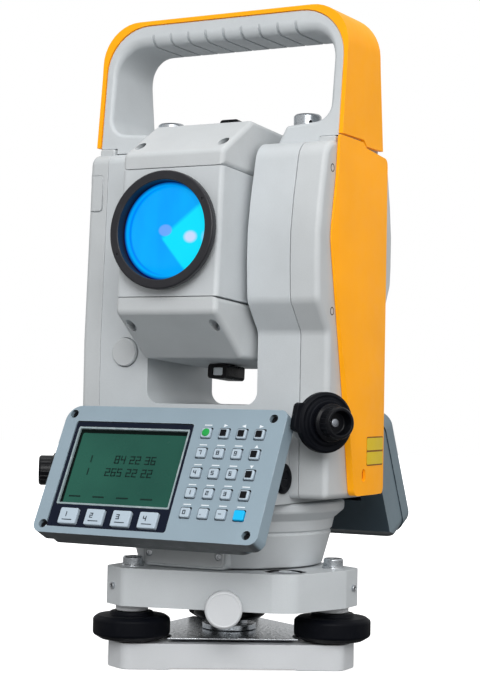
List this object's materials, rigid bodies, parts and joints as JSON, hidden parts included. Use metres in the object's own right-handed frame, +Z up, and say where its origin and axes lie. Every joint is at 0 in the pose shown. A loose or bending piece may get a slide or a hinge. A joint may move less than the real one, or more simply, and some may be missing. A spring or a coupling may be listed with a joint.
{
  "type": "theodolite",
  "caption": "Electronic total-station theodolite: U-shaped yoke with tilting telescope, tilted display units, orange carrying handle, on a three-screw tribrach.",
  "frame": {"origin": "middle of the tribrach base plate's underside, on the vertical axis", "axes": "+Z up along the vertical axis, -Y toward the objective side, X along the trunnion axis"},
  "size_m": [0.182, 0.1734, 0.336],
  "materials": {
    "grey_casting": "fine satin light grey paint over die-cast aluminium",
    "grey_cover": "fine-textured light grey moulding",
    "pale_casting": "satin pale grey paint",
    "orange_cover": "satin orange moulding",
    "panel_blue_grey": "blue-grey textured moulding",
    "black_plastic": "satin black",
    "black_rubber": "ribbed black rubber",
    "bright_steel": "bright plated steel",
    "machined_steel": "turned steel",
    "lens_brass": "turned brass",
    "coated_lens": "blue anti-reflection coating",
    "circle_glass": "graduated clear glass",
    "lcd": "dark green liquid-crystal display behind a window",
    "key_grey": "grey silicone",
    "key_green": "green silicone",
    "key_cyan": "cyan silicone"
  },
  "bodies": {
    "tribrach": {"tribrach_base_plate": "pale_casting", "clamping_ring": "black_plastic", "spring_plate": "bright_steel", "tripod_screw_bush": "bright_steel", "axis_bearing": "machined_steel", "tribrach_body": "pale_casting", "circular_level": "black_plastic", "horizontal_circle": "circle_glass"},
    "alidade": {"alidade_base": "grey_casting", "vertical_axis_spindle": "machined_steel", "yoke": "grey_casting", "right_cover": "grey_cover", "left_cover": "grey_cover", "right_side_panel": "orange_cover", "left_side_panel": "grey_cover", "handle_grip": "grey_cover", "handle_skin": "orange_cover", "plug_cap": "grey_cover", "port_cap": "black_rubber", "front_display_housing": "panel_blue_grey", "front_display_back": "panel_blue_grey", "front_display_bezel": "black_plastic", "front_lcd_glass": "lcd", "front_key_mat": "key_grey", "rear_display_housing": "panel_blue_grey", "rear_display_back": "panel_blue_grey", "rear_display_bezel": "black_plastic", "rear_lcd_glass": "lcd", "rear_key_mat": "key_grey"},
    "telescope": {"telescope_body": "grey_casting", "telescope_top_cover": "grey_cover", "telescope_bottom_cover": "grey_cover", "objective_ring": "black_plastic", "objective_lens": "coated_lens", "collimator_sight_top": "black_plastic", "collimator_sight_bottom": "black_plastic", "trunnion_axle_left": "machined_steel", "trunnion_axle_right": "machined_steel", "vertical_circle": "circle_glass"},
    "foot_screw_front_left": {"foot_screw_front_left": "black_rubber"},
    "foot_screw_front_right": {"foot_screw_front_right": "black_rubber"},
    "foot_screw_rear": {"foot_screw_rear": "black_rubber"},
    "tribrach_lock_knob": {"tribrach_lock_knob": "pale_casting"},
    "handle_screw_left": {"handle_screw_left": "bright_steel"},
    "handle_screw_right": {"handle_screw_right": "bright_steel"},
    "elevation_clamp": {"elevation_clamp": "black_plastic"},
    "elevation_tangent_knob": {"elevation_tangent_knob": "black_rubber"},
    "azimuth_clamp": {"azimuth_clamp": "black_plastic"},
    "azimuth_tangent_knob": {"azimuth_tangent_knob": "black_rubber"},
    "focusing_ring": {"focusing_ring": "black_rubber"},
    "focusing_lens_cell": {"focusing_lens_cell": "lens_brass"},
    "eyepiece": {"eyepiece": "black_plastic"},
    "battery_pack": {"battery_pack": "grey_cover"},
    "battery_latch": {"battery_latch": "black_plastic"},
    "key_f1": {"key_f1": "key_grey"},
    "key_f2": {"key_f2": "key_grey"},
    "key_f3": {"key_f3": "key_grey"},
    "key_f4": {"key_f4": "key_grey"},
    "key_power": {"key_power": "key_green"},
    "key_enter": {"key_enter": "key_cyan"}
  },
  "joints": [
    {"name": "alidade_turn", "type": "hinge", "parent": "tribrach", "child": "alidade", "pos_m": [0, 0, 0.0535], "axis": [0, 0, 1], "continuous": true},
    {"name": "altitude_tilt", "type": "hinge", "parent": "alidade", "child": "telescope", "pos_m": [0, 0, 0.213], "axis": [1, 0, 0], "continuous": true},
    {"name": "elevation_clamp_turn", "type": "hinge", "parent": "alidade", "child": "elevation_clamp", "pos_m": [0.0746, -0.043, 0.125], "axis": [0.8339, -0.5519, 0], "range_deg": [-70, 0]},
    {"name": "elevation_tangent_turn", "type": "hinge", "parent": "alidade", "child": "elevation_tangent_knob", "pos_m": [0.0746, -0.043, 0.125], "axis": [0.8339, -0.5519, 0], "range_deg": [-1800, 1800]},
    {"name": "azimuth_clamp_turn", "type": "hinge", "parent": "alidade", "child": "azimuth_clamp", "pos_m": [-0.0746, -0.043, 0.0964], "axis": [-0.8339, -0.5519, 0], "range_deg": [0, 60]},
    {"name": "azimuth_tangent_turn", "type": "hinge", "parent": "alidade", "child": "azimuth_tangent_knob", "pos_m": [-0.0746, -0.043, 0.0964], "axis": [-0.8339, -0.5519, 0], "range_deg": [-1800, 1800]},
    {"name": "battery_slide", "type": "slide", "parent": "alidade", "child": "battery_pack", "axis": [-1, 0, 0], "range_m": [0, 0.03]},
    {"name": "battery_latch_slide", "type": "slide", "parent": "battery_pack", "child": "battery_latch", "axis": [0, 0, -1], "range_m": [0, 0.004]},
    {"name": "focus_turn", "type": "hinge", "parent": "telescope", "child": "focusing_ring", "pos_m": [0, 0, 0.213], "axis": [0, -0.9981, 0.061], "range_deg": [0, 300]},
    {"name": "focus_cell_slide", "type": "slide", "parent": "telescope", "child": "focusing_lens_cell", "axis": [0, -0.9981, 0.061], "range_m": [0, 0.0101]},
    {"name": "eyepiece_turn", "type": "hinge", "parent": "telescope", "child": "eyepiece", "pos_m": [0, 0, 0.213], "axis": [0, -0.9981, 0.061], "range_deg": [-150, 150]},
    {"name": "foot_screw_front_left_turn", "type": "hinge", "parent": "tribrach", "child": "foot_screw_front_left", "pos_m": [-0.02761, -0.05192, 0.02], "axis": [0, 0, 1], "range_deg": [-1080, 1080]},
    {"name": "foot_screw_front_right_turn", "type": "hinge", "parent": "tribrach", "child": "foot_screw_front_right", "pos_m": [0.05876, 0.00205, 0.02], "axis": [0, 0, 1], "range_deg": [-1080, 1080]},
    {"name": "foot_screw_rear_turn", "type": "hinge", "parent": "tribrach", "child": "foot_screw_rear", "pos_m": [-0.03116, 0.04986, 0.02], "axis": [0, 0, 1], "range_deg": [-1080, 1080]},
    {"name": "handle_screw_left_turn", "type": "hinge", "parent": "alidade", "child": "handle_screw_left", "pos_m": [-0.041, 0, 0.278], "axis": [0, 0, 1], "range_deg": [0, 1440]},
    {"name": "handle_screw_right_turn", "type": "hinge", "parent": "alidade", "child": "handle_screw_right", "pos_m": [0.041, 0, 0.278], "axis": [0, 0, 1], "range_deg": [0, 1440]},
    {"name": "key_f1_press", "type": "slide", "parent": "alidade", "child": "key_f1", "axis": [0, 0.891, -0.454], "range_m": [0, 0.001]},
    {"name": "key_f2_press", "type": "slide", "parent": "alidade", "child": "key_f2", "axis": [0, 0.891, -0.454], "range_m": [0, 0.001]},
    {"name": "key_f3_press", "type": "slide", "parent": "alidade", "child": "key_f3", "axis": [0, 0.891, -0.454], "range_m": [0, 0.001]},
    {"name": "key_f4_press", "type": "slide", "parent": "alidade", "child": "key_f4", "axis": [0, 0.891, -0.454], "range_m": [0, 0.001]},
    {"name": "key_power_press", "type": "slide", "parent": "alidade", "child": "key_power", "axis": [0, 0.891, -0.454], "range_m": [0, 0.001]},
    {"name": "key_enter_press", "type": "slide", "parent": "alidade", "child": "key_enter", "axis": [0, 0.891, -0.454], "range_m": [0, 0.001]},
    {"name": "tribrach_lock_turn", "type": "hinge", "parent": "tribrach", "child": "tribrach_lock_knob", "pos_m": [0.02584, -0.05343, 0.0331], "axis": [0.5299, -0.848, 0], "range_deg": [0, 180]}
  ],
  "couplings": [
    {"joint": "focus_cell_slide", "follows": "focus_turn", "m_per_rad": 0.0019}
  ]
}
